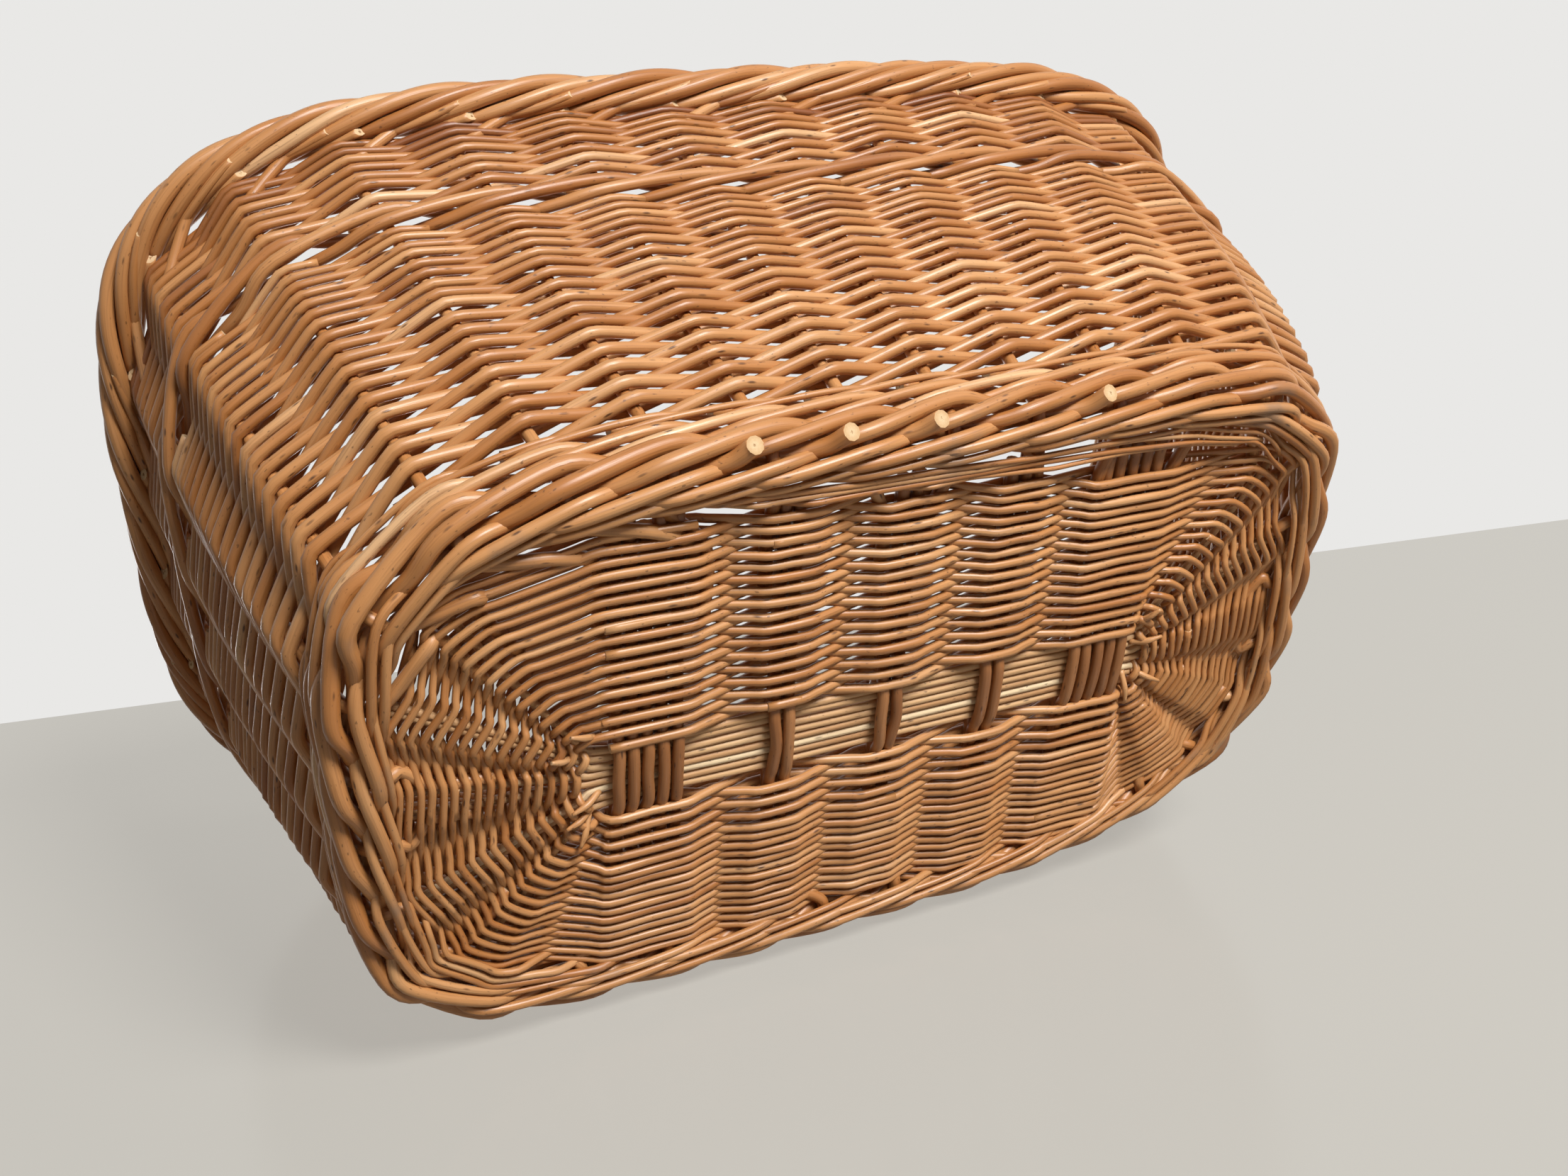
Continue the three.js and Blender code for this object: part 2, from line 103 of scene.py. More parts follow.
def willow(name, *tones, streak="#7A4A22", roughness=0.36):
    """Peeled willow: satin skin, a tone for each rod, fine lengthwise streaks, dark bud scars and specks."""
    material = bpy.data.materials.new(name)
    material.use_nodes = True
    tree = material.node_tree
    tree.nodes.clear()
    rod = node(tree, "ShaderNodeAttribute", attribute_name="rod").outputs["Vector"]
    tint = node(tree, "ShaderNodeAttribute", attribute_name="tint").outputs["Fac"]
    # Slow change of tone along a rod, about 90 mm long
    slow = node(tree, "ShaderNodeMapping", {"Vector": rod, "Scale": (1 / 90, 1 / 40, 1 / 40)})
    drift = node(tree, "ShaderNodeTexNoise", {"Vector": slow.outputs["Vector"], "Scale": 1.0, "Detail": 2.0})
    shade = node(tree, "ShaderNodeMapRange", {"Value": drift.outputs["Fac"], "From Min": 0.3, "From Max": 0.7,
                                              "To Min": -0.17, "To Max": 0.17})
    tone = node(tree, "ShaderNodeMath", {0: tint, 1: shade.outputs["Result"]}, operation="ADD")
    skin = node(tree, "ShaderNodeValToRGB", {"Fac": tone.outputs["Value"]}, stops=tones)
    # Fine streaks of the wood, 0.7 mm wide and 30 mm long
    fine = node(tree, "ShaderNodeMapping", {"Vector": rod, "Scale": (1 / 30, 1 / 0.7, 1 / 0.7)})
    grain = node(tree, "ShaderNodeTexNoise", {"Vector": fine.outputs["Vector"], "Scale": 1.0, "Detail": 3.0})
    streaks = node(tree, "ShaderNodeMapRange", {"Value": grain.outputs["Fac"], "From Min": 0.5,
                                                "From Max": 0.78, "To Min": 0.0, "To Max": 0.5})
    streaked = node(tree, "ShaderNodeMix", {"Factor": streaks.outputs["Result"], "A": skin.outputs["Color"],
                                            "B": paint(streak)}, data_type="RGBA")
    # Bud scars: dashes about 2.5 mm long and 0.7 mm wide, strong on some lengths of rod and faint on others
    spots = node(tree, "ShaderNodeMapping", {"Vector": rod, "Scale": (1 / 14, 1 / 3.6, 1 / 3.6)})
    bud = node(tree, "ShaderNodeTexVoronoi", {"Vector": spots.outputs["Vector"], "Scale": 1.0,
                                              "Randomness": 1.0})
    scar = node(tree, "ShaderNodeMapRange", {"Value": bud.outputs["Distance"], "From Min": 0.07,
                                             "From Max": 0.17, "To Min": 0.9, "To Max": 0.0})
    often = node(tree, "ShaderNodeMapRange", {"Value": drift.outputs["Fac"], "From Min": 0.38,
                                              "From Max": 0.56, "To Min": 0.25, "To Max": 1.0})
    scars = node(tree, "ShaderNodeMath", {0: scar.outputs["Result"], 1: often.outputs["Result"]},
                 operation="MULTIPLY")
    # Specks: brown freckles under a millimetre wide
    dots = node(tree, "ShaderNodeMapping", {"Vector": rod, "Scale": (1 / 2.6, 1 / 1.1, 1 / 1.1)})
    freckle = node(tree, "ShaderNodeTexNoise", {"Vector": dots.outputs["Vector"], "Scale": 1.0,
                                                "Detail": 1.0})
    specks = node(tree, "ShaderNodeMapRange", {"Value": freckle.outputs["Fac"], "From Min": 0.69,
                                               "From Max": 0.77, "To Min": 0.0, "To Max": 0.6})
    spotted = node(tree, "ShaderNodeMath", {0: scars.outputs["Value"], 1: specks.outputs["Result"]},
                   operation="MAXIMUM")
    marked = node(tree, "ShaderNodeMix", {"Factor": spotted.outputs["Value"], "A": streaked.outputs["Result"],
                                          "B": paint("#4A2A14")}, data_type="RGBA")
    # Grey scuffs where the foot rubs on the ground, patches about 30 mm across on the lowest 5 mm
    place = node(tree, "ShaderNodeTexCoord").outputs["Object"]
    height = node(tree, "ShaderNodeSeparateXYZ", {"Vector": place}).outputs["Z"]
    low = node(tree, "ShaderNodeMapRange", {"Value": height, "From Min": 0.001, "From Max": 0.006,
                                            "To Min": 0.5, "To Max": 0.0})
    patch = node(tree, "ShaderNodeTexNoise", {"Vector": place, "Scale": 1 / 0.03, "Detail": 4.0})
    rubbed = node(tree, "ShaderNodeMapRange", {"Value": patch.outputs["Fac"], "From Min": 0.56,
                                               "From Max": 0.68})
    scuff = node(tree, "ShaderNodeMath", {0: low.outputs["Result"], 1: rubbed.outputs["Result"]},
                 operation="MULTIPLY")
    worn = node(tree, "ShaderNodeMix", {"Factor": scuff.outputs["Value"], "A": marked.outputs["Result"],
                                        "B": paint("#77675A")}, data_type="RGBA")
    gloss = node(tree, "ShaderNodeMapRange", {"Value": grain.outputs["Fac"], "To Min": roughness - 0.06,
                                              "To Max": roughness + 0.14})
    ridge = node(tree, "ShaderNodeMath", {0: grain.outputs["Fac"], 1: scars.outputs["Value"]},
                 operation="ADD")
    relief = node(tree, "ShaderNodeBump", {"Height": ridge.outputs["Value"], "Strength": 0.22,
                                           "Distance": 0.0006})
    surface = node(tree, "ShaderNodeBsdfPrincipled", {"Base Color": worn.outputs["Result"],
                                                      "Roughness": gloss.outputs["Result"], "IOR": 1.5,
                                                      "Normal": relief.outputs["Normal"]})
    node(tree, "ShaderNodeOutputMaterial", {"Surface": surface.outputs["BSDF"]})
    return material


def cut_end():
    """Knife-cut willow end: pale dry wood, an uneven brown pith in the middle."""
    material = bpy.data.materials.new("cut_willow_end")
    material.use_nodes = True
    tree = material.node_tree
    tree.nodes.clear()
    rod = node(tree, "ShaderNodeAttribute", attribute_name="rod").outputs["Vector"]
    # How far out on the cut, in rods of 3 mm radius, blurred by cracks of about 0.8 mm
    flat = node(tree, "ShaderNodeMapping", {"Vector": rod, "Scale": (0, 1 / 3, 1 / 3)})
    out = node(tree, "ShaderNodeVectorMath", {0: flat.outputs["Vector"]}, operation="LENGTH")
    crack = node(tree, "ShaderNodeTexNoise", {"Vector": rod, "Scale": 1 / 0.8, "Detail": 3.0})
    uneven = node(tree, "ShaderNodeMapRange", {"Value": crack.outputs["Fac"], "From Min": 0.3,
                                               "From Max": 0.7, "To Min": -0.2, "To Max": 0.2})
    ring = node(tree, "ShaderNodeMath", {0: out.outputs["Value"], 1: uneven.outputs["Result"]},
                operation="ADD")
    wood = node(tree, "ShaderNodeValToRGB", {"Fac": ring.outputs["Value"]},
                stops=((0.0, "#84603C"), (0.1, "#A8845A"), (0.2, "#D0B48C"), (1.0, "#C29E72")))
    surface = node(tree, "ShaderNodeBsdfPrincipled", {"Base Color": wood.outputs["Color"], "Roughness": 0.8})
    node(tree, "ShaderNodeOutputMaterial", {"Surface": surface.outputs["BSDF"]})
    return material


def through(points, steps):
    """A smooth path through points (Catmull-Rom), with so many steps from each to the next."""
    points = np.asarray(points, float)
    held = np.vstack([2 * points[0] - points[1], points, 2 * points[-1] - points[-2]])
    a, b, c, d = (held[i:len(held) - 3 + i, None] for i in range(4))
    t = (np.arange(steps) / steps)[None, :, None]
    path = b + 0.5 * t * (c - a + t * (2 * a - 5 * b + 4 * c - d + t * (3 * (b - c) + d - a)))
    return np.vstack([path.reshape(-1, points.shape[1]), points[-1:]])


def rods(name, paths, radii, tints, skin, sides=10, slants=None):
    """Rods drawn along paths as one mesh; each point keeps its place along and across its rod, and its tint.

    slants gives, by rod number, the side to which that rod's far end is cut at a slant."""
    drawing = bpy.data.curves.new(name, "CURVE")
    drawing.dimensions = "3D"
    drawing.bevel_depth = MM
    drawing.bevel_resolution = (sides - 4) // 2
    turn = np.arange(sides) * 2 * np.pi / sides
    marks, shades = [], []
    for number, (path, radius, tint) in enumerate(zip(paths, radii, tints)):
        radius, tint = (np.broadcast_to(np.asarray(value, float), len(path)) for value in (radius, tint))
        spline = drawing.splines.new("POLY")
        spline.points.add(len(path) - 1)
        spline.points.foreach_set("co", np.column_stack([path * MM, np.ones(len(path))]).ravel())
        spline.points.foreach_set("radius", radius)
        along = np.append(0, np.cumsum(np.linalg.norm(np.diff(path, axis=0), axis=1)))
        along = along + PATTERN_BY_NUMBER * number + PATTERN_BY_TINT * tint[-1]
        marks.append(np.stack([np.repeat(along[:, None], sides, 1), radius[:, None] * np.cos(turn),
                               radius[:, None] * np.sin(turn)], 2).reshape(-1, 3))
        shades.append(np.repeat(tint, sides))
    holder = bpy.data.objects.new(name, drawing)
    bpy.context.collection.objects.link(holder)
    drawn = holder.evaluated_get(bpy.context.evaluated_depsgraph_get())
    mesh = bpy.data.meshes.new_from_object(drawn)
    bpy.data.objects.remove(holder)
    bpy.data.curves.remove(drawing)
    mesh.name = name
    ends = bmesh.new()
    ends.from_mesh(mesh)
    ends.verts.ensure_lookup_table()
    rings = np.cumsum([len(path) for path in paths]) * sides
    for number, side in (slants or {}).items():
        end = Vector(paths[number][-1]) * MM
        way = Vector(paths[number][-1] - paths[number][-2]).normalized()
        cut_plane = (way + SLANT_CUT * Vector(side).normalized()).normalized()
        for vert in ends.verts[rings[number] - sides:rings[number]]:
            vert.co -= way * ((vert.co - end).dot(cut_plane) / way.dot(cut_plane))
    bmesh.ops.holes_fill(ends, edges=[edge for edge in ends.edges if edge.is_boundary])
    bmesh.ops.recalc_face_normals(ends, faces=ends.faces)
    ends.to_mesh(mesh)
    ends.free()
    mesh.attributes.new("rod", "FLOAT_VECTOR", "POINT").data.foreach_set("vector", np.vstack(marks).ravel())
    mesh.attributes.new("tint", "FLOAT", "POINT").data.foreach_set("value", np.concatenate(shades))
    mesh.materials.clear()
    mesh.materials.append(skin)
    mesh.materials.append(cut)
    caps = np.array([len(face.vertices) > 4 for face in mesh.polygons])
    mesh.polygons.foreach_set("material_index", caps.astype(np.int32))
    mesh.polygons.foreach_set("use_smooth", ~caps)
    piece = bpy.data.objects.new(name, mesh)
    bpy.context.collection.objects.link(piece)
    return piece


cut = cut_end()
# Stout buff willow, boiled in its bark and peeled: the bark has dyed it a deep brown under a satin skin
dark_willow = willow("dark_buff_willow", (0.0, "#7A4A26"), (0.5, "#9C6436"), (1.0, "#B98252"))
chance = np.random.default_rng(16)
number = 0
for middle, size in CROSS_GROUPS:
    for place in range(size):
        number += 1
        x = middle + (place - (size - 1) / 2) * CROSS_PITCH
        near = CROSS_NEAR + chance.uniform(-3, 3)
        stations = np.array([-near, *CROSS_STATIONS, CROSS_END]) + SLATH_MIDDLE * SLATH_PULL
        sway = chance.normal(0, 0.35, len(stations)) + x
        halves = [through(np.column_stack([sway, stations, BASE_LEVEL + side * PARTING]), 6)
                  for side in (-1, 1)]
        shade = 0.5 + chance.normal(0, 0.16)
        stick = rods(f"willow_cross_stick_{number:02d}", halves, (CROSS_ROD, CROSS_ROD), (shade, shade),
                     dark_willow)
        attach(stick, "root")
        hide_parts(f"cross_stick_{number:02d}")

# Long sticks of the base: eight thin pale rods side by side through the split cross sticks, opened into a fan
# at both ends. Two pairs of them stay together there, so that the fan has six sticks.
LONG_ROD = 1.75
LONG_PITCH = 3.9
PAIR_PITCH = 3.6
FAN_START = 127
RIGHT_TIPS = ((187, -91), (201, -47), (201, -7), (201, 5), (193, 49), (167, 84))
LEFT_TIPS = ((-184, -89), (-203, -47), (-205, -7), (-205, 5), (-204, 52), (-185, 94))
FAN_ROD = (0, 1, 1, 2, 3, 4, 4, 5)

# Split willow: bare inner wood, paler and drier than a rod's skin
pale_willow = willow("pale_split_willow", (0.0, "#B07C4C"), (0.5, "#D2A878"), (1.0, "#E6CBA2"),
                     streak="#A06A3C", roughness=0.5)
chance = np.random.default_rng(6)
long_paths = {k: [] for k in range(6)}
for rank, stick in enumerate(FAN_ROD):
    y = SLATH_MIDDLE + (rank - 3.5) * LONG_PITCH
    spread = (rank - FAN_ROD.index(stick) - (FAN_ROD.count(stick) - 1) / 2) * PAIR_PITCH
    left, right = ([(way * (FAN_START - 4), y), (way * (FAN_START + 12), y + (tip_y - y) * 0.16),
                    (tip_x, tip_y + spread)]
                   for way, (tip_x, tip_y) in ((-1, LEFT_TIPS[stick]), (1, RIGHT_TIPS[stick])))
    run = left[::-1] + [(-60, y), (0, y), (60, y)] + right
    swayed = np.array(run) + chance.normal(0, 0.3, (len(run), 2))
    long_paths[stick].append(through(np.column_stack([swayed, np.full(len(run), BASE_LEVEL)]), 6))
for stick, paths in long_paths.items():
    shades = 0.5 + chance.normal(0, 0.25, len(paths))
    piece = rods(f"willow_long_stick_{stick + 1}", paths, [LONG_ROD] * len(paths), shades, pale_willow)
    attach(piece, "root")
    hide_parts(f"long_stick_{stick + 1}")

# Base weave: thin buff rods randed over and under the groups of sticks, from the slath outwards, stout butts
# first. The rows of the +Y side are beaten closer; in the fans the strokes are thinner, and their tint is
# lowered there as painted shade.
BASE_ROUNDS = 32
BASE_LIFT = 4.9
FAN_LIFT = (3.3, 4.2)
# Where the weave ends on the cross sticks: on the -Y side group by group, and on the +Y side
NEAR_ENDS = (-105, -104, -103, -99, -95)
FAR_END = 114
SLATH_HALF = 16
FIRST_ROW = SLATH_HALF + 1.6
STAKE_ROOM = 2.4
GROUP_REACH = {2: 7, 5: 15.5}
FAN_PITCH, FAN_FIRST = 4.6, 5
PAIR_REACH = (3.5, 5.5 + STAKE_ROOM)
STICK_REACH = (2.4, 5.4 + STAKE_ROOM)
EDGE_ROOM = 0.4
WIDE_GROUP = 9
LONG_RUN = 11
UNEVEN = 0.22
LOOSE_ROUNDS, LOOSE_ROW, CLOSE_ROW = 8, 3.5, 2.42
# How much a rib takes part in the closer rows, by its number
CLOSE_RIBS = ((7, 8, 9, 10, 14, 15, 16, 17), (0, 0.15, 0.5, 1, 1, 0.5, 0.15, 0))
FAN_EDGE = (118, 138)
WEAVER_BUTT, WEAVER_TIP = 2.1, 1.85
# Rods thin outwards and in the fans; the lower tint in the fans is painted shade
THINNER_OUTSIDE, THINNER_AT_FAN, PAINTED_SHADE_AT_FAN = 0.2, 0.3, 0.07
# Strokes at which a new weaver is laid in
LAID_IN = (0, 21, 47, 70, 96, 121, 149, 172, 200, 227, 251, 280, 305, 331, 360, 384, 411, 437, 466, 490, 517,
           541, 568, 590, 617, 640)
TIP_RIBS = (5, 6, 8, 9, 15, 16, 16, 18, 19)
TIP_ROD, TIP_END = 1.4, 0.7

# Buff willow, boiled in its bark and peeled: orange-brown satin skin that differs from rod to rod
buff_willow = willow("buff_willow", (0.0, "#7E4722"), (0.35, "#A96D38"), (0.65, "#C18A56"), (1.0, "#DBB386"))
chance = np.random.default_rng(28)
ribs = []
for (x, size), end in zip(CROSS_GROUPS, NEAR_ENDS):
    reach = GROUP_REACH[size]
    ribs.append(((x, SLATH_MIDDLE - FIRST_ROW), (x, end), (reach, reach + STAKE_ROOM), (1, 0)))
# The two middle sticks of a fan are woven as one
right_fan, left_fan = [], []
for fan, side, tips in ((right_fan, 1, RIGHT_TIPS), (left_fan, -1, LEFT_TIPS)):
    for stick in (0, 1, 2, 4, 5):
        pair = stick == 2
        tip = np.mean(tips[2:4], axis=0) if pair else np.array(tips[stick])
        start = np.array((side * FAN_START, SLATH_MIDDLE + (0 if pair else (stick - 2.5) * FAN_PITCH)))
        way = (tip - start) / np.linalg.norm(tip - start)
        fan.append((start + way * FAN_FIRST, tip, PAIR_REACH if pair else STICK_REACH, (-way[1], way[0])))
ribs += right_fan
for x, size in reversed(CROSS_GROUPS):
    reach = GROUP_REACH[size]
    ribs.append(((x, SLATH_MIDDLE + FIRST_ROW), (x, FAR_END), (reach, reach + STAKE_ROOM), (-1, 0)))
ribs += left_fan[::-1]
ribs = [(np.array(inner), np.array(outer), reach, np.array(across)) for inner, outer, reach, across in ribs]


def rand_base(steps, share, over, chance):
    """Control points of a base weaver past the ribs named by steps: a rib's two edges, over or under in turn.

    A wide group also has its middle. Between ribs the weaver runs straight, so it kinks where it leaves
    them."""
    points = []
    for rib, out, above in zip(steps, share, over):
        inner, outer, reach, across = ribs[rib]
        middle = inner + (outer - inner) * out
        lift = np.interp(out, (0, 1), FAN_LIFT) if rib // 5 % 2 else BASE_LIFT
        half = np.interp(out, (0, 1), reach) + EDGE_ROOM
        for side in (-1, 0, 1) if half > WIDE_GROUP else (-1, 1):
            edge = np.append(middle + across * side * half, BASE_LEVEL + (-lift if above else lift))
            edge += chance.normal(0, UNEVEN, 3)
            if side < 0 and points and np.linalg.norm(edge - points[-1]) > LONG_RUN:
                points += [points[-1] * (1 - way) + edge * way for way in (0.2, 0.5, 0.8)]
            points.append(edge)
    return np.array(points)


def close_rows(rounds):
    """How far out a round has come on the closely beaten side, as a share of that side's ribs."""
    way = LOOSE_ROW * np.minimum(rounds, LOOSE_ROUNDS) + CLOSE_ROW * np.maximum(rounds - LOOSE_ROUNDS, 0)
    return way / (FAR_END - SLATH_MIDDLE - FIRST_ROW)


base_paths, base_radii, base_tints = [], [], []
count = len(ribs)
for first, last in zip(LAID_IN, LAID_IN[1:]):
    m = np.arange(first, last + 1)
    u = m / (BASE_ROUNDS * count)
    close = np.interp(m % count, *CLOSE_RIBS)
    # The rows draw a little closer together towards the edge
    share = (1.15 * u - 0.15 * u ** 2) * (1 - close) + close_rows(m / count) * close
    base_paths.append(through(rand_base(m % count, share, (m + m // count) % 2 == 0, chance), 3))
    at_fan = np.interp(np.abs(base_paths[-1][:, 0]), FAN_EDGE, (0, 1))
    taper = np.linspace(WEAVER_BUTT, WEAVER_TIP, len(base_paths[-1]))
    base_radii.append(taper - THINNER_OUTSIDE * u[0] - THINNER_AT_FAN * at_fan)
    # Painted shade: the tint is lowered in the fans
    base_tints.append(0.58 + chance.normal(0, 0.1) - PAINTED_SHADE_AT_FAN * at_fan)
# Slyped tips of weavers that start at the ends of the slath, standing out between the fan's sticks
for rib in TIP_RIBS:
    inner, outer, _, across = ribs[rib]
    way = (outer - inner) / np.linalg.norm(outer - inner)
    begin = inner + way * chance.uniform(-4, 14) + across * chance.uniform(-4, 4)
    lean = way + across * chance.normal(0, 0.3)
    stations = ((-6, 1), (0, 5.6), (chance.uniform(5, 8), 7.6))
    base_paths.append(through([(*(begin + lean * far), BASE_LEVEL - rise) for far, rise in stations], 5))
    base_radii.append(np.interp(np.arange(len(base_paths[-1])), (0, 6, 10), (TIP_ROD, TIP_ROD, TIP_END)))
    base_tints.append(0.68)
base_weave = rods("willow_base_weave", base_paths, base_radii, base_tints, buff_willow, sides=8)
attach(base_weave, "root")
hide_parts("base_weaver")

# Base-edge wale: three buff rods waled round the stakes' feet, each in front of two and behind one. It is the
# rim that the basket stands on. A thinner wale lies inside it, and thin rods run along that on the -Y side
# and round the corner between the left end and the +Y side.
FOOT = (414, 234)
FOOT_MIDDLE = (-2.5, -1.5)
# How square the corners are: +X+Y, -X+Y, -X-Y and +X-Y
FOOT_CORNERS = (3.0, 6.2, 4.4, 5.8)
RIM = (558, 386)
# The even outline by which the stakes are spread round the basket
SQUARE = 4.4
STAKES = 32
STAKE_ROD = 2.8
FOOT_LEVEL = 8.3
# How far outside the foot outline, rise of a stroke, rod radius, strokes at which a rod is laid in
EDGE_WALES = ((4.4, 2.7, 2.45, (12, 48, 84)), (-1.0, 2.0, 1.75, (9, 33, 57, 81)))
# From stake, to stake, how far inside the foot outline, rod radius
THIN_RODS = ((20.9, 29.2, 6.2, 1.4), (21.3, 28.7, 8.6, 1.25), (21.9, 29.6, 10.8, 1.3),
             (23.2, 28.4, 12.8, 1.15), (10.3, 14.7, 4.5, 1.9), (10.8, 14.3, 8.3, 1.8),
             (11.3, 13.8, 11.9, 1.7))
THIN_LEVEL, TUCK = 4.6, 9

# The even outline as a fine polygon: its points as shares of the half size, and the way along it
sweep = np.linspace(0, 2 * np.pi, 40001)
unit = np.column_stack([np.cos(sweep), np.sin(sweep)])
middle_size = (np.array(FOOT) + np.array(RIM)) / 4
unit /= (np.sum(np.abs(unit / middle_size) ** SQUARE, axis=1) ** (1 / SQUARE))[:, None]
travel = np.append(0, np.cumsum(np.linalg.norm(np.diff(unit, axis=0), axis=1)))
unit /= middle_size


def outline(s, size, corners, middle, taut=True):
    """Points at stake number s on an outline with four hand-squared corners, and the outward directions.

    Taut rods run straight from stake to stake."""
    s = np.asarray(s, float)
    whole = np.floor(s) if taut else s
    found = []
    for end in (whole, whole + 1):
        way = (end + 0.5) / STAKES % 1 * travel[-1]
        place = np.column_stack([np.interp(way, travel, unit[:, k]) for k in (0, 1)])
        quarter = np.where(place[:, 1] >= 0, place[:, 0] < 0, 2 + (place[:, 0] >= 0)).astype(int)
        square = np.array(corners)[quarter][:, None]
        ray = place / np.linalg.norm(place, axis=1)[:, None]
        ray /= np.sum(np.abs(ray) ** square, axis=1)[:, None] ** (1 / square)
        out = np.sign(place) * np.abs(place) ** (SQUARE - 1) / middle_size
        found.append((ray * size / 2 + middle, out / np.linalg.norm(out, axis=1)[:, None]))
    share = (s - whole)[:, None]
    point, out = (a * (1 - share) + b * share for a, b in zip(*found))
    return point, out / np.linalg.norm(out, axis=1)[:, None]


def foot(s, out_by, level):
    """Points in the base plane at stake number s, so far outside the foot outline."""
    place, out = outline(s, FOOT, FOOT_CORNERS, FOOT_MIDDLE)
    shift = np.broadcast_to(np.asarray(out_by, float), len(place))[:, None]
    return np.column_stack([place + out * shift, np.broadcast_to(level, len(place))])


def wale(place, starts, front, spread, radius, chance, taper=(1.06, 0.92), butts_last=False):
    """A three-rod wale as separate rods: in front of two stakes, behind one, each stroke rising to the next.

    place(s, lift, stand) gives points; starts are the strokes, multiples of three, at which a new rod is laid
    in behind a stake. With butts_last the rod before it ends in front, thick and cut off."""
    paths, radii = [], []
    for first, last in zip(starts, [*starts[1:], starts[0] + 3 * STAKES]):
        s, lift, stand = [first - 1, first - 0.5], [0.3 * spread, -0.5 * spread], [-front, -0.2 * front]
        for m in range(first, last, 3):
            s += [m, m + 1, m + 1.5, m + 2, m + 2.5]
            lift += [-spread, spread, spread, 0, -spread]
            stand += [front, front, 0, -front, 0]
        if butts_last:
            s, lift, stand = s + [last - 0.26], lift + [-1.35 * spread], stand + [1.5 * front]
        else:
            s, lift, stand = s[:-1], lift[:-1], stand[:-1]
        lift = np.array(lift) + chance.normal(0, 0.35, len(lift))
        stand = np.array(stand) + chance.normal(0, 0.25, len(stand))
        paths.append(through(place(np.array(s), lift, stand), 6))
        radii.append(radius * np.linspace(*taper, len(paths[-1])))
    return paths, radii


chance = np.random.default_rng(5)
paths, radii = [], []
for out_by, spread, radius, starts in EDGE_WALES:
    more, thin = wale(lambda s, lift, stand: foot(s, lift + out_by, FOOT_LEVEL - stand), starts,
                      STAKE_ROD + radius, spread, radius, chance, taper=(1.15, 0.75))
    paths, radii = paths + more, radii + thin
tints = list(0.55 + chance.normal(0, 0.1, len(paths)))
for begin, end, inset, radius in THIN_RODS:
    s = np.arange(begin, end, 0.25)
    wander = np.interp(s, s[::4], chance.normal(0, 0.7, len(s[::4])))
    tuck = np.interp(s, (begin, begin + 0.5, end - 0.75, end - 0.25), (TUCK, 0, 0, TUCK))
    paths.append(through(foot(s, wander - inset, THIN_LEVEL + 0.5 * wander + tuck), 3))
    radii.append(np.linspace(radius, 0.7 * radius, len(paths[-1])))
    tints.append(0.55 + chance.normal(0, 0.12))
edge_wale = rods("willow_base_edge_wale", paths, radii, tints, buff_willow)
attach(edge_wale, "root")
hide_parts("base_edge_wale")

# Upsett: wales at the bottom of the side that hold the stakes upright. A three-rod wale of stout buff rods
# comes first, worked from tip to butt, with the slanted cuts of the butts in front; then a thinner wale and a
# thin one above it.
RIM_MIDDLE = (2, -2)
RIM_CORNERS = (4.4, 3.5, 3.98, 4.86)
WALL_OUT = 11
FAR_WALL_IN = 4.5
KNEE_LEVEL = 12
TOP_LEVEL = 238
TOP_IN = 6
BELLY_RIGHT, BELLY_LEFT = 19, 4
UPSETT_LEVEL = 11.5
UPSETT_STARTS = (24, 54, 87, 90)
UPSETT_FRONT, UPSETT_SPREAD, UPSETT_ROD = 5.3, 4.4, 3.25
BUTT_FACING = (0, -0.6, -0.8)
# Level, rod radius, rise of a stroke, strokes at which a rod is laid in
UPPER_WALES = ((22.6, 2.2, 2.4, (0, 27, 51, 75)), (30.0, 1.4, 1.4, (9, 33, 60, 84)))


def wall(s, z, stand):
    """Points of the side at stake number s and height z, standing off it by so much.

    The ends belly out, the right one most, and the feet of the +Y side stand closer to the base edge."""
    low, out = outline(s, FOOT, FOOT_CORNERS, FOOT_MIDDLE)
    high, _ = outline(s, RIM, RIM_CORNERS, RIM_MIDDLE)
    z = np.broadcast_to(np.asarray(z, float), len(low))[:, None]
    stand_off = WALL_OUT - FAR_WALL_IN * np.clip(out[:, 1:], 0, 1)
    low = np.column_stack([low + out * stand_off, np.full(len(low), KNEE_LEVEL)])
    high = np.column_stack([high - out * TOP_IN, np.full(len(low), TOP_LEVEL)])
    rise = high - low
    share = (z - KNEE_LEVEL) / (TOP_LEVEL - KNEE_LEVEL)
    point = low + rise * share
    fullest = np.where(out[:, :1] > 0, BELLY_RIGHT, BELLY_LEFT)
    belly = 4 * np.clip(share, 0, 1) * (1 - share) * fullest * np.abs(out[:, :1])
    facing = np.column_stack([out, np.zeros(len(low))])
    rise /= np.linalg.norm(rise, axis=1)[:, None]
    facing -= rise * np.sum(facing * rise, axis=1)[:, None]
    return point + facing * (belly + np.broadcast_to(np.asarray(stand, float), len(low))[:, None])


chance = np.random.default_rng(22)
paths, radii = wale(lambda s, lift, stand: wall(s, UPSETT_LEVEL + lift, stand), UPSETT_STARTS, UPSETT_FRONT,
                    UPSETT_SPREAD, UPSETT_ROD, chance, taper=(0.88, 1.1), butts_last=True)
slants = {rod: BUTT_FACING for rod in range(len(paths))}
tints = list(0.34 + chance.normal(0, 0.1, len(paths)))
for level, radius, spread, starts in UPPER_WALES:
    more, thin = wale(lambda s, lift, stand: wall(s, level + lift, stand), starts, STAKE_ROD + radius, spread,
                      radius, chance)
    paths, radii = paths + more, radii + thin
    tints += list(0.5 + chance.normal(0, 0.14, len(more)))
upsett = rods("willow_upsett_wales", paths, radii, tints, buff_willow, slants=slants)
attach(upsett, "root")
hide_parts("upsett_wale")

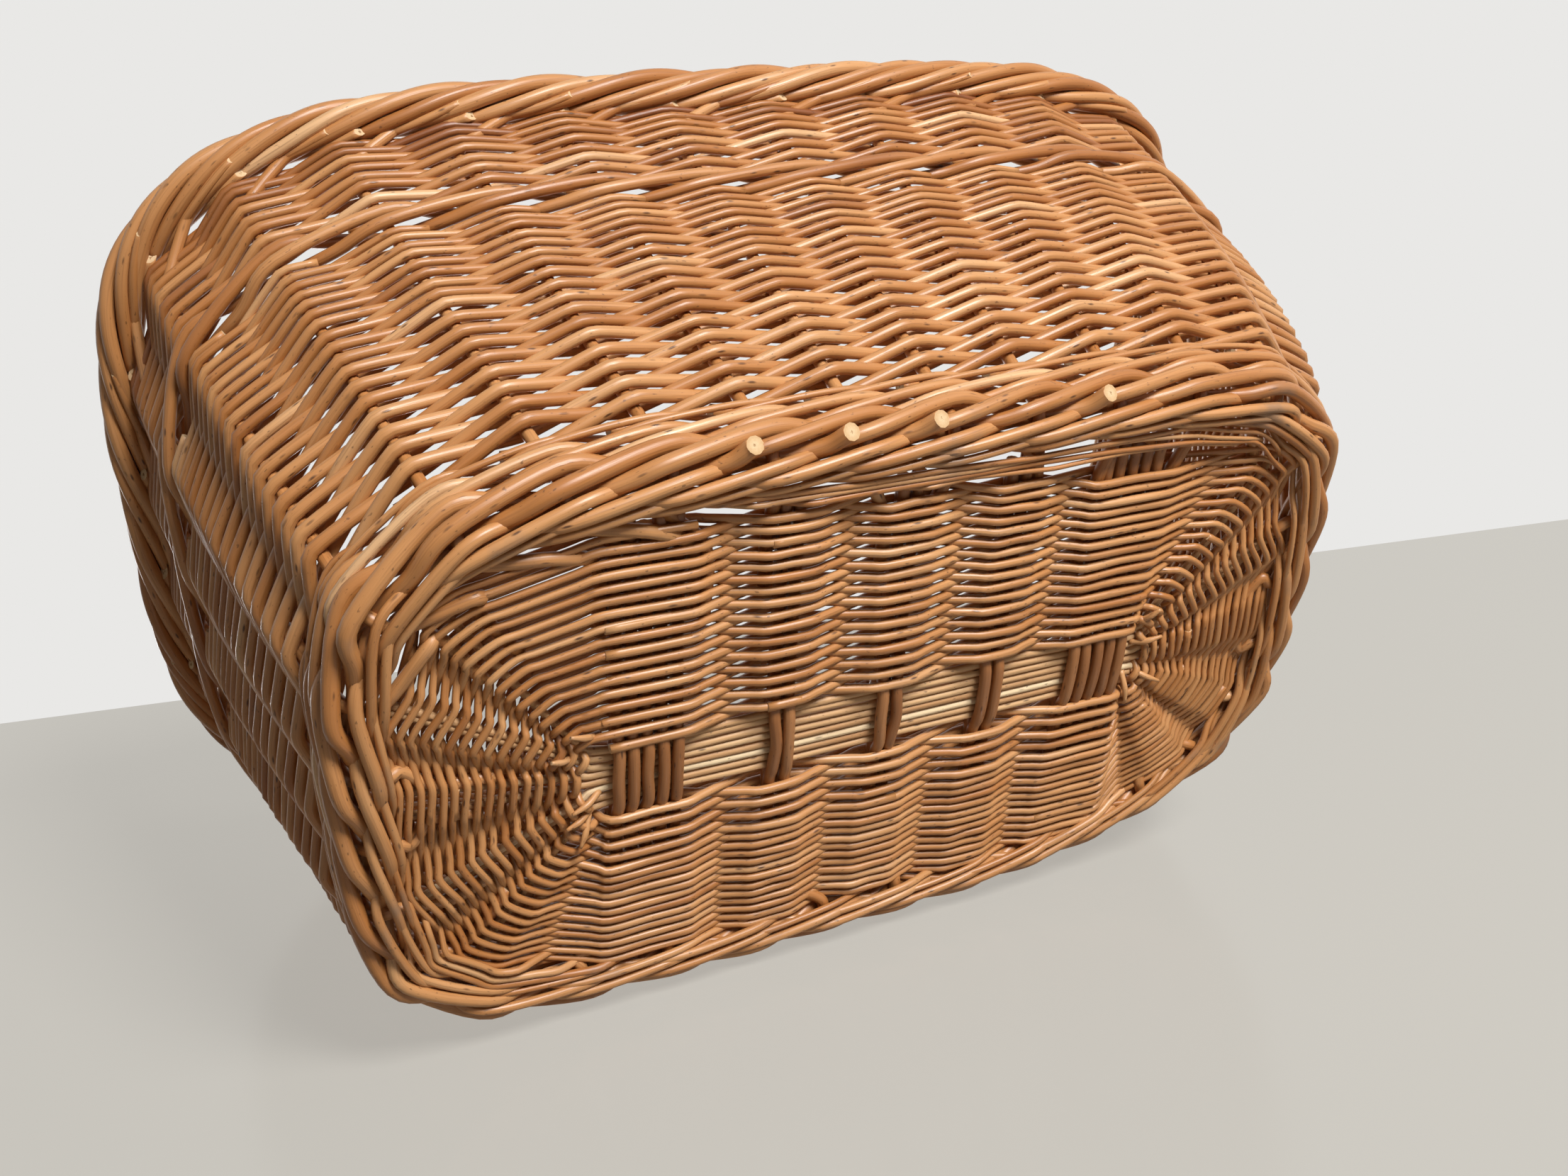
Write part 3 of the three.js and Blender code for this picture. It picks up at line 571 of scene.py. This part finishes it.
# Side weavers: French rand. Thirty-two buff rods, one started behind each stake, are worked up together, each
# in front of one stake and behind the next, so every rod climbs the side from its thick butt to its tip.
RAND_LOW, RAND_HIGH = 36.5, 166
RAND_STEPS = 33
RAND_BUTT, RAND_TIP = 2.75, 1.65
PASSING = 2.75
# How sharply a rod bends at the stakes, from 0 for a smooth wave to 1 for a zigzag
KINK = 0.985


def rand(start, steps, low, high, butt, tip, chance):
    """One rod of a French rand, from behind stake number start, climbing from low to high past the stakes."""
    m = np.linspace(-0.3, steps + 0.3, int((steps + 0.6) * 12))
    share = np.clip(m / steps, 0, 1)
    radius = butt + (tip - butt) * share
    # A rod rises less as it thins
    level = low + (high - low) * (1.28 * share - 0.28 * share ** 2)
    weave = np.arcsin(KINK * -np.cos(np.pi * m)) / np.arcsin(KINK)
    wander = sum(chance.normal(0, 0.35) * np.sin(m * chance.uniform(0.5, 2.2) + chance.uniform(0, 6.3))
                 for _ in range(3))
    path = wall(start + m, level + wander, weave * (PASSING + radius) * (1 + 0.06 * wander))
    return path, radius


chance = np.random.default_rng(32)
for start in range(STAKES):
    path, radius = rand(start, RAND_STEPS, RAND_LOW, RAND_HIGH, RAND_BUTT, RAND_TIP, chance)
    shade = np.clip(0.5 + chance.normal(0, 0.1), 0, 1)
    weaver = rods(f"willow_side_weaver_{start + 1:02d}", [path], [radius], [shade], buff_willow)
    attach(weaver, "root")
    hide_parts(f"side_weaver_{start + 1:02d}")

# Waling band: a three-rod wale of buff rods, each in front of two stakes and behind one. It locks the top of
# the rand and stands out from the side as a cord.
BAND_LEVEL = 174.5
BAND_STARTS = (12, 39, 63, 90)
BAND_FRONT, BAND_SPREAD, BAND_ROD = 5.5, 3.4, 2.75

chance = np.random.default_rng(17)
paths, radii = wale(lambda s, lift, stand: wall(s, BAND_LEVEL + lift, stand), BAND_STARTS, BAND_FRONT,
                    BAND_SPREAD, BAND_ROD, chance)
band = rods("willow_waling_band", paths, radii, 0.42 + chance.normal(0, 0.1, len(paths)), buff_willow)
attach(band, "root")
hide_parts("waling_band")

# Top rand: a second French rand of thinner buff rods between the band and the border, each woven past
# fourteen stakes. Its top rows lie under the overhanging border, and their tint is darkened there as painted
# shade.
TOP_RAND_LOW, TOP_RAND_HIGH = 184, 235
TOP_RAND_STEPS = 14
TOP_RAND_BUTT, TOP_RAND_TIP = 2.25, 1.75
# Heights over which the tint darkens: painted shade under the border
PAINTED_SHADE_LEVELS = (216, 230)

chance = np.random.default_rng(11)
tops = [rand(start, TOP_RAND_STEPS, TOP_RAND_LOW, TOP_RAND_HIGH, TOP_RAND_BUTT, TOP_RAND_TIP, chance)
        for start in range(STAKES)]
# Painted shade: the tint falls towards the top rows
tints = [0.46 + chance.normal(0, 0.1) - np.interp(path[:, 2], PAINTED_SHADE_LEVELS, (0, 0.3)) for path, _ in tops]
top = rods("willow_top_rand", [path for path, _ in tops], [radius for _, radius in tops], tints, buff_willow)
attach(top, "root")
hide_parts("top_weaver")

# Stakes and border: thirty-two buff rods pushed in beside the base sticks, pricked up at the edge and carried
# to the top, where each one, with a second rod laid beside it, is rolled away to the right into a rope that
# overhangs the side. Each goes once round the rope and is cut off underneath.
BORDER_RADIUS = 10
BORDER_OUT = 2
BORDER_LEVEL = 240
ROLL_START = -178
ROLL_STEP = 108
ROLL_FROM, SECOND_FROM, ROLL_TO = 0.6, 0.1, 4.15
ROLL_POINTS = 56
CORE_POINTS, CORE_ROD = 160, 4.2
# Stakes that lean over where they bend up, and where a stake bends: how far outside the foot outline, level
LEANING = (17, 18, 19, 20)
LEAN = 0.8
BEND, LEANING_BEND = (-8, FOOT_LEVEL + 2), (-13, FOOT_LEVEL - 1.5)
STAKE_LEVELS = (17, 30, 60, 95, 130, 165, 195, 219)
STAKE_PITCH = 5.2
# Turn round the rope, depth in it, radius at the butt and at the tip, radius of the stake below the rope
BORDER_RODS = ((-23, 0.0, 3.4, 2.0, 2.5), (24, 0.6, 2.9, 1.6, 2.3))


def rolled(s, ages, offset, radius, slack):
    """The border part of a rod that left stake number s: a helix round the rim, rising to the outside."""
    turn = np.radians(ROLL_START + ROLL_STEP * ages + offset)
    place, out = outline(s + ages, RIM, RIM_CORNERS, RIM_MIDDLE, taut=False)
    reach = BORDER_RADIUS - radius + slack
    return np.column_stack([place + out * (BORDER_OUT + reach * np.cos(turn))[:, None],
                            BORDER_LEVEL + reach * np.sin(turn)])


chance = np.random.default_rng(64)
paths, radii, slants, taken = [], [], {}, {}
rib_ends = np.array([outer for _, outer, _, _ in ribs])
for s in range(STAKES):
    lean = LEAN if s in LEANING else chance.uniform(-0.1, 0.15)
    bend = foot([s + lean], *(LEANING_BEND if s in LEANING else BEND))[0]
    rib = int(np.argmin(np.linalg.norm(rib_ends - bend[:2], axis=1)))
    inner, outer, (_, reach), across = ribs[rib]
    side = 1 if (bend[:2] - outer) @ across > 0 else -1
    beside = across * side * (reach + EDGE_ROOM + STAKE_PITCH * taken.get((rib, side), 0))
    taken[rib, side] = taken.get((rib, side), 0) + 1
    inward = (inner - outer) / np.linalg.norm(inner - outer)
    stem = [(*(outer + inward * deep + beside), BASE_LEVEL) for deep in (chance.uniform(30, 48), 14)]
    stem += [bend, *foot([s], -3, FOOT_LEVEL), *foot([s], 7.5, FOOT_LEVEL + 0.7)]
    stem += list(wall(np.full(len(STAKE_LEVELS), s), np.array(STAKE_LEVELS), 0))
    for offset, deep, thick, thin, stem_radius in BORDER_RODS:
        roll_from = ROLL_FROM if offset < 0 else SECOND_FROM
        ages = np.linspace(roll_from, ROLL_TO + chance.normal(0, 0.08), ROLL_POINTS)
        radius = np.interp(ages, (0, ROLL_TO - 1, ROLL_TO), (thick, thick, thin)) + chance.normal(0, 0.1)
        slack = 0.7 * np.sin(ages * chance.uniform(2, 3.5) + chance.uniform(0, 6)) - deep
        slack = slack + np.interp(ages, (ROLL_TO - 0.5, ROLL_TO), (0, 0.4))
        border_part = rolled(s, ages, offset, radius, slack)
        way = through(np.vstack([stem, border_part[:2]]), 6)[:-7] if offset < 0 else border_part[:0]
        outward = wall([s + ROLL_TO], 0, 1)[0, :2] - wall([s + ROLL_TO], 0, 0)[0, :2]
        slants[len(paths)] = np.append(outward, -1)
        paths.append(np.vstack([way, border_part]))
        radii.append(np.append(np.linspace(STAKE_ROD, stem_radius, len(way)), radius))
# A dark rod along the middle of the rope, in the darkest tint: painted shade that shows between its rods
shade_core = np.linspace(0, STAKES, CORE_POINTS)
place, out = outline(shade_core, RIM, RIM_CORNERS, RIM_MIDDLE, taut=False)
paths.append(np.column_stack([place + out * BORDER_OUT, np.full(CORE_POINTS, BORDER_LEVEL)]))
radii.append(np.full(CORE_POINTS, CORE_ROD))
# The rod in the middle of the rope gets the darkest tint, as painted shade
tints = np.append(0.5 + chance.normal(0, 0.14, len(paths) - 1), 0.0)
border = rods("willow_stakes_and_border", paths, radii, tints, buff_willow, slants=slants)
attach(border, "root")
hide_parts("stakes_and_border")

# Stage: a pale stone floor under the side on which the basket lies, and soft light from above it. Both floors
# are seen from their upper side only. The first casts no shadow, so that the back lamp reaches past it; the
# second lies under the base for the upright views and takes no part in the light.
FLOOR_UP = Vector((0, -0.9595, 0.2816))
FLOOR_FAR_EDGE = (Vector((-418, 288, 520)), Vector((729, 226, 308)))
FLOOR_SIZE = 3.0
STANDING_LEVEL = -0.0008
# Place in metres, size in metres, power in watts
LAMPS = {"key": ((0.4, -1.85, -0.65), 0.6, 60), "back": ((-0.5, 1.5, 1.3), 1.5, 40)}

# Polished pale stone: a soft mirror of the basket, half evened out for the camera, with the shadow left in it
floor_material = bpy.data.materials.new("pale_floor")
floor_material.use_nodes = True
tree = floor_material.node_tree
tree.nodes.clear()
side = node(tree, "ShaderNodeNewGeometry").outputs["Backfacing"]
stone = node(tree, "ShaderNodeBsdfPrincipled", {"Base Color": paint("#8A8780"), "Roughness": 0.2})
clear = node(tree, "ShaderNodeBsdfTransparent")
plain = node(tree, "ShaderNodeEmission", {"Color": paint("#F0ECE3"), "Strength": 1.0})
ray = node(tree, "ShaderNodeLightPath").outputs["Is Camera Ray"]
even = node(tree, "ShaderNodeMath", {0: ray, 1: 0.5}, operation="MULTIPLY")
ground = node(tree, "ShaderNodeMixShader", {0: even.outputs["Value"], 1: stone.outputs["BSDF"],
                                            2: plain.outputs["Emission"]})
shown = node(tree, "ShaderNodeMixShader", {0: side, 1: ground.outputs["Shader"], 2: clear.outputs["BSDF"]})
node(tree, "ShaderNodeOutputMaterial", {"Surface": shown.outputs["Shader"]})


def floor(name, middle, run, up, size):
    """A square floor that faces up, with two of its edges along run."""
    back = up.cross(run)
    turn = Matrix((run, back, up)).transposed().to_4x4()
    sheet = bmesh.new()
    bmesh.ops.create_grid(sheet, x_segments=1, y_segments=1, size=size,
                          matrix=Matrix.Translation(middle - back * size) @ turn)
    mesh = bpy.data.meshes.new(name)
    sheet.to_mesh(mesh)
    sheet.free()
    mesh.materials.append(floor_material)
    ground = bpy.data.objects.new(name, mesh)
    bpy.context.collection.objects.link(ground)
    return ground


run = FLOOR_FAR_EDGE[1] - FLOOR_FAR_EDGE[0]
run = (run - FLOOR_UP * run.dot(FLOOR_UP)).normalized()
far_middle = (FLOOR_FAR_EDGE[0] + FLOOR_FAR_EDGE[1]) * (MM / 2)
lying = floor("floor_lying", far_middle, run, FLOOR_UP.normalized(), FLOOR_SIZE)
lying.visible_shadow = False
standing = floor("floor_standing", Vector((0, FLOOR_SIZE, STANDING_LEVEL)), Vector((1, 0, 0)),
                 Vector((0, 0, 1)), FLOOR_SIZE)
standing.visible_shadow = False
standing.visible_diffuse = False
standing.visible_glossy = False
standing.visible_transmission = False

for name, (place, size, power) in LAMPS.items():
    lamp = bpy.data.lights.new(name, "AREA")
    lamp.size = size
    lamp.energy = power
    shining = bpy.data.objects.new(name, lamp)
    shining.location = place
    shining.rotation_euler = (-Vector(place)).to_track_quat("-Z", "Y").to_euler()
    bpy.context.collection.objects.link(shining)

world = bpy.data.worlds.new("pale_room")
bpy.context.scene.world = world
world.use_nodes = True
tree = world.node_tree
tree.nodes.clear()
ray = node(tree, "ShaderNodeLightPath")
seen = node(tree, "ShaderNodeMath", {0: ray.outputs["Is Camera Ray"], 1: ray.outputs["Is Glossy Ray"]},
            operation="MAXIMUM")
seen = node(tree, "ShaderNodeMath", {0: seen.outputs["Value"], 1: ray.outputs["Is Transmission Ray"]},
            operation="MAXIMUM")
room = node(tree, "ShaderNodeBackground", {"Color": paint("#F2F1EF"), "Strength": 0.06})
wall_paint = node(tree, "ShaderNodeBackground", {"Color": paint("#E9E8E6"), "Strength": 1.0})
both = node(tree, "ShaderNodeMixShader", {0: seen.outputs["Value"], 1: room.outputs["Background"],
                                          2: wall_paint.outputs["Background"]})
node(tree, "ShaderNodeOutputWorld", {"Surface": both.outputs["Shader"]})
bpy.context.scene.view_settings.view_transform = "Standard"
